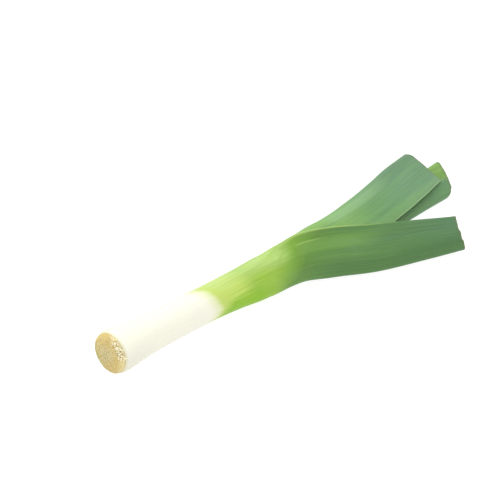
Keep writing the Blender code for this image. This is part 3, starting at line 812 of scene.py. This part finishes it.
def root_tree(material):
    """Geometry nodes that plant cut roots over the front of the root plate."""
    tree = bpy.data.node_groups.new("plant_cut_roots", "GeometryNodeTree")
    tree.interface.new_socket("Plate", in_out="INPUT", socket_type="NodeSocketGeometry")
    for name, value in ROOT_SIZES.items():
        kind = "NodeSocketInt" if isinstance(value, int) else "NodeSocketFloat"
        tree.interface.new_socket(name, in_out="INPUT", socket_type=kind).default_value = value
    tree.interface.new_socket("Roots", in_out="OUTPUT", socket_type="NodeSocketGeometry")
    bench = Bench(tree)
    given = tree.nodes.new("NodeGroupInput")

    def take(name):
        return Wire(bench, given.outputs[name])

    def below(value, limit):
        return bench.node("FunctionNodeCompare", {"operation": "LESS_THAN", "data_type": "FLOAT"},
                          {0: value, 1: limit})

    def chance(low, high, seed):
        return bench.node("FunctionNodeRandomValue", {"data_type": "FLOAT"},
                          {2: low, 3: high, "Seed": seed}, out=1)

    def store(geometry, name, value, domain):
        return bench.node("GeometryNodeStoreNamedAttribute", {"data_type": "FLOAT", "domain": domain},
                          {"Geometry": geometry, "Name": name, "Value": value})

    # Where roots stand: on faces turned to the front, within the rim, and out to it in the tuft
    place = bench.node("GeometryNodeInputPosition")
    y, z = bench.part(place, 1) * 1000 - ROOT_END[1], bench.part(place, 2) * 1000 - AXIS_HEIGHT
    radius = (y * y + z * z) ** 0.5
    tuft = tuft_mask(y, z, radius)
    front = below(bench.part(bench.node("GeometryNodeInputNormal"), 0), PLATE_FRONT)
    inside = below(radius - tuft * TUFT_BEYOND, ROOTS_WITHIN)
    chosen = bench.node("FunctionNodeBooleanMath", {"operation": "AND"}, {0: front, 1: inside})
    spread = bench.node("GeometryNodeDistributePointsOnFaces", {"distribute_method": "POISSON"},
                        {"Mesh": take("Plate"), "Selection": chosen, "Distance Min": take("Spacing"),
                         "Density Max": ROOT_DENSITY, "Density Factor": 1.0, "Seed": take("Seed")})
    normal_there = Wire(bench, spread.socket.node.outputs["Normal"])

    # One root, a unit high. Each of its points carries its height, which is 1 or so at the tip
    root = bench.node("GeometryNodeMeshCylinder", {"fill_type": "TRIANGLE_FAN"},
                      {"Vertices": 8, "Side Segments": 4, "Fill Segments": 1, "Radius": 1.0, "Depth": 1.0},
                      out="Mesh")
    stand = bench.node("GeometryNodeTransform", (), {"Geometry": root, "Translation": (0.0, 0.0, 0.35)})
    marked = store(stand, "tip", bench.part(bench.node("GeometryNodeInputPosition"), 2) + 0.15, "POINT")

    # Each leans its own way, those of the tuft outwards, and has its own size and tone
    wobble = bench.node("FunctionNodeRandomValue", {"data_type": "FLOAT_VECTOR"},
                        {0: (-0.4,) * 3, 1: (0.4,) * 3, "Seed": 21})
    lean = tuft * 0.22 + 0.06
    outwards = bench.node("ShaderNodeCombineXYZ", (), {0: tuft * 1.8 - 2.0, 1: y * lean, 2: z * lean})
    leaning = bench.vectors("ADD", bench.vectors("ADD", outwards, wobble), normal_there)
    turned = bench.node("FunctionNodeAlignRotationToVector", {"axis": "Z"}, {"Vector": leaning})
    at_rim = radius.ramp(7.0, 14.5)
    long = take("Root length") * (0.75 - 0.5 * at_rim + tuft * take("Tuft length")) * chance(0.5, 1.3, 31)
    wide = take("Root radius") * chance(0.65, 1.2, 32) * (1 + 0.6 * tuft)
    size = bench.node("ShaderNodeCombineXYZ", (), {0: wide, 1: wide * chance(0.75, 1.0, 34), 2: long})
    planted = bench.node("GeometryNodeInstanceOnPoints", (),
                         {"Points": spread, "Instance": marked, "Rotation": turned, "Scale": size})
    toned = store(planted, "tone", (chance(0.2, 0.6, 33) + tuft * 0.7).held(), "INSTANCE")
    real = bench.node("GeometryNodeRealizeInstances", (), {"Geometry": toned})

    # Their tips are bent by noise
    tip = bench.node("GeometryNodeInputNamedAttribute", {"data_type": "FLOAT"}, {"Name": "tip"})
    bend = bench.node("ShaderNodeTexNoise", (), {"Vector": bench.node("GeometryNodeInputPosition"), "Scale": 900.0,
                                                 "Detail": 1.0}, out="Color")
    bend = bench.node("ShaderNodeVectorMath", {"operation": "SCALE"},
                      {0: bench.vectors("SUBTRACT", bend, (0.5,) * 3), "Scale": tip * tip * 0.0011})
    bent = bench.node("GeometryNodeSetPosition", (), {"Geometry": real, "Offset": bend})
    finished = bench.node("GeometryNodeSetMaterial", (), {"Geometry": bent, "Material": material})
    out = tree.nodes.new("NodeGroupOutput")
    tree.links.new(finished.socket, out.inputs["Roots"])
    return tree


def grown(piece, tree, sizes, name):
    """The plain mesh that a tree of geometry nodes makes from a piece."""
    modifier = piece.modifiers.new("grow", "NODES")
    modifier.node_group = tree
    keys = {item.name: item.identifier for item in tree.interface.items_tree if item.in_out == "INPUT"}
    for key, value in sizes.items():
        modifier[keys[key]] = value
    bpy.context.view_layer.update()
    mesh = bpy.data.meshes.new_from_object(piece.evaluated_get(bpy.context.evaluated_depsgraph_get()))
    piece.modifiers.remove(modifier)
    mesh.name = name
    return placed(mesh)


def keep_in_box(piece):
    """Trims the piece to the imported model's box and to the surface it lies on."""
    low, high = (np.array(corner) for corner in cad_box)
    points = np.zeros(len(piece.data.vertices) * 3, np.float32)
    piece.data.vertices.foreach_get("co", points)
    points = np.clip(points.reshape(-1, 3), low, high).astype(np.float32)
    piece.data.vertices.foreach_set("co", points.ravel())
    piece.data.update()


# ---------------------------------------------------------------- studio

def camera_axes():
    """Unit vectors of the camera: to its right, level ahead, and ahead."""
    down, heading = math.radians(CAMERA_DOWN), math.radians(CAMERA_HEADING)
    right = Vector((math.cos(heading), -math.sin(heading), 0))
    level = Vector((math.sin(heading), math.cos(heading), 0))
    return right, level, level * math.cos(down) - Vector((0, 0, 1)) * math.sin(down)


def studio():
    """Camera, lit white table and soft lights."""
    scene = bpy.context.scene
    right, level, ahead = camera_axes()
    camera = bpy.data.objects.new("camera", bpy.data.cameras.new("camera"))
    scene.collection.objects.link(camera)
    turned = Matrix((right, right.cross(ahead), -ahead)).transposed().to_4x4()
    camera.matrix_world = Matrix.Translation(CAMERA_PLACE) @ turned
    camera.data.sensor_width = FILM_WIDTH
    camera.data.lens = FOCAL_PIXELS / PHOTO_WIDTH * FILM_WIDTH
    camera.data.clip_start, camera.data.clip_end = 0.01, 50
    scene.camera = camera

    bpy.ops.mesh.primitive_plane_add(size=8, location=(0, 0, -0.0003))
    floor = bpy.context.object
    floor.name = "floor"
    paint = Finish("lit_table", 0.9, 0.1)
    paint.shader.inputs["Emission Color"].default_value = (1.0, 1.0, 1.0, 1.0)
    paint.shader.inputs["Emission Strength"].default_value = 0.90
    paint.shader.inputs["Base Color"].default_value = (0.24, 0.24, 0.24, 1.0)
    floor.data.materials.append(paint.material)

    world = bpy.data.worlds.new("studio")
    world.use_nodes = True
    sky = world.node_tree.nodes["Background"]
    sky.inputs["Color"].default_value, sky.inputs["Strength"].default_value = (1, 1, 1, 1), 1.0
    scene.world = world
    target = Vector((0.0, 0.0, 0.02))
    for name, away, size, watts in (("key", right * -0.55 + level * 0.35 + Vector((0, 0, 1.15)), 0.9, 8.0),
                                    ("front", level * -1.2 + right * 0.1 + Vector((0, 0, 0.7)), 1.2, 3.0)):
        lamp = bpy.data.objects.new(name, bpy.data.lights.new(name, "AREA"))
        lamp.data.shape, lamp.data.size, lamp.data.energy = "DISK", size, watts
        lamp.matrix_world = Matrix.Translation(target + away) @ away.to_track_quat("Z", "Y").to_matrix().to_4x4()
        scene.collection.objects.link(lamp)
    scene.view_settings.view_transform = "Standard"
    scene.view_settings.look = "None"


# ---------------------------------------------------------------- making the leek

def dress(piece, node):
    """Sets the body a piece rides on, and hides the imported node that it stands for."""
    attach(piece, "root")
    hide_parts(node)


studio()
for leaf, leaf_skin in zip(LEAVES, (outer_leaf_skin, second_leaf_skin, third_leaf_skin, inner_leaf_skin)):
    piece = leaf_piece(leaf)
    piece.data.materials.append(leaf_skin(leaf))
    dress(piece, leaf.name)
plate = plate_piece()
plate.data.materials.append(plate_skin())
roots = grown(plate, root_tree(cut_root_skin()), ROOT_SIZES, "cut_roots")
keep_in_box(roots)
dress(plate, "root_plate")
dress(roots, "root_plate")
